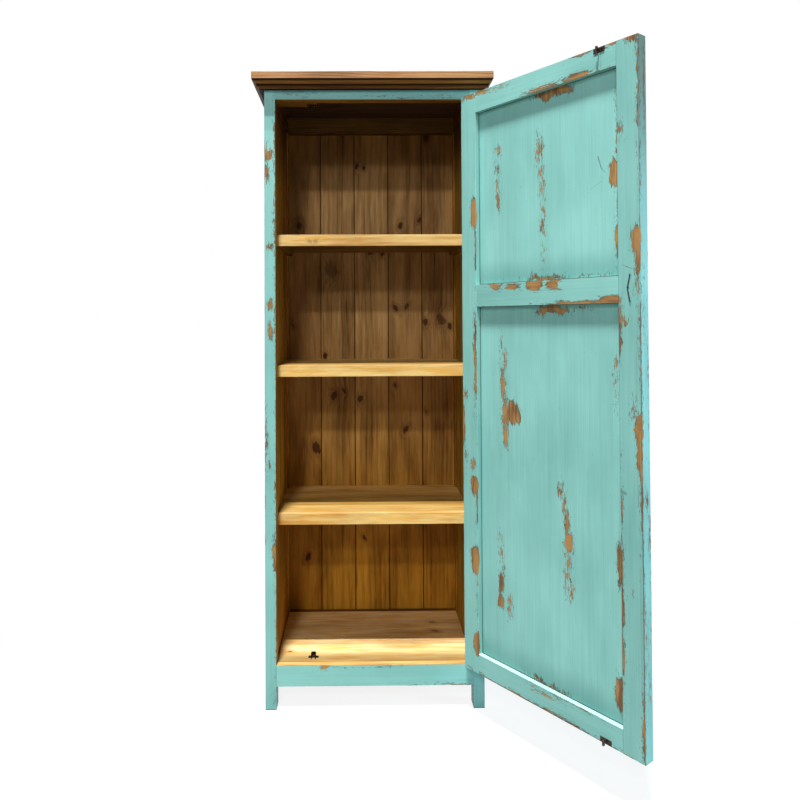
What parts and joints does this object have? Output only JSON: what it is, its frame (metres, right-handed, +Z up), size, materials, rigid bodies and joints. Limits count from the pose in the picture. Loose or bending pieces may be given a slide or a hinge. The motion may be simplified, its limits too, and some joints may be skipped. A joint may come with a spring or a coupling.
{
  "type": "single-door storage cabinet",
  "caption": "Tall narrow rustic pine cabinet with a moulded crown, fixed shelves and one painted panel door standing open on its right side.",
  "frame": {"origin": "centre of the front left foot's sole, on the floor", "axes": "+X to the right seen from the front, +Y to the back, +Z up; the door is hinged on the right front post"},
  "size_m": [0.9627, 0.882, 1.83],
  "materials": {
    "turquoise_paint": "distressed turquoise paint over pine, satin, worn through at the edges",
    "brown_pine": "brown stained pine, low sheen",
    "waxed_pine": "waxed honey-brown pine with knots",
    "dark_bronze": "dark oiled bronze colour on iron"
  },
  "bodies": {
    "cabinet": {"apron_back": "brown_pine", "apron_front": "turquoise_paint", "back_board_1": "brown_pine", "back_board_2": "brown_pine", "back_board_3": "brown_pine", "back_board_4": "brown_pine", "back_board_5": "brown_pine", "back_nails": "dark_bronze", "catch_block": "brown_pine", "catch_screws": "dark_bronze", "crown_moulding_front": "waxed_pine", "crown_moulding_left": "waxed_pine", "crown_moulding_right": "waxed_pine", "deck": "waxed_pine", "deck_cleats": "brown_pine", "front_post_left": "turquoise_paint", "front_post_right": "turquoise_paint", "high_shelf": "waxed_pine", "high_shelf_lip": "waxed_pine", "hinge_leaves_post": "dark_bronze", "hinge_pins": "dark_bronze", "hinge_screws_post": "dark_bronze", "low_shelf": "waxed_pine", "low_shelf_lip": "waxed_pine", "lower_catch": "dark_bronze", "middle_shelf": "waxed_pine", "middle_shelf_lip": "waxed_pine", "rear_post_left": "turquoise_paint", "rear_post_right": "turquoise_paint", "shelf_cleats": "brown_pine", "side_apron_left": "turquoise_paint", "side_apron_right": "turquoise_paint", "side_board_left_1": "turquoise_paint", "side_board_left_2": "turquoise_paint", "side_board_left_3": "turquoise_paint", "side_board_right_1": "turquoise_paint", "side_board_right_2": "turquoise_paint", "side_board_right_3": "turquoise_paint", "side_top_rail_left": "turquoise_paint", "side_top_rail_right": "turquoise_paint", "top_board": "waxed_pine", "top_nails": "dark_bronze", "top_rail_back": "brown_pine", "top_rail_front": "turquoise_paint", "upper_catch": "dark_bronze"},
    "door": {"door_stile_hinge": "turquoise_paint", "door_stile_free": "turquoise_paint", "door_rail_bottom": "turquoise_paint", "door_rail_lock": "turquoise_paint", "door_rail_top": "turquoise_paint", "door_panel_lower": "turquoise_paint", "door_panel_upper": "turquoise_paint", "hinge_leaves_door": "dark_bronze", "hinge_screws_door": "dark_bronze", "lower_strike": "dark_bronze", "upper_strike": "dark_bronze", "strike_screws": "dark_bronze", "pull_rosette": "dark_bronze", "pull_cotter": "dark_bronze"},
    "pull_ring": {"pull_ring": "dark_bronze"}
  },
  "joints": [
    {"name": "door_hinge", "type": "hinge", "parent": "cabinet", "child": "door", "pos_m": [0.5805, -0.027, 0.943], "axis": [0, 0, 1], "range_deg": [-126.2, 53.8]},
    {"name": "ring_swing", "type": "hinge", "parent": "door", "child": "pull_ring", "pos_m": [0.89823, -0.45062, 1.1834], "axis": [0.5906, -0.807, 0], "range_deg": [-5, 175]}
  ]
}
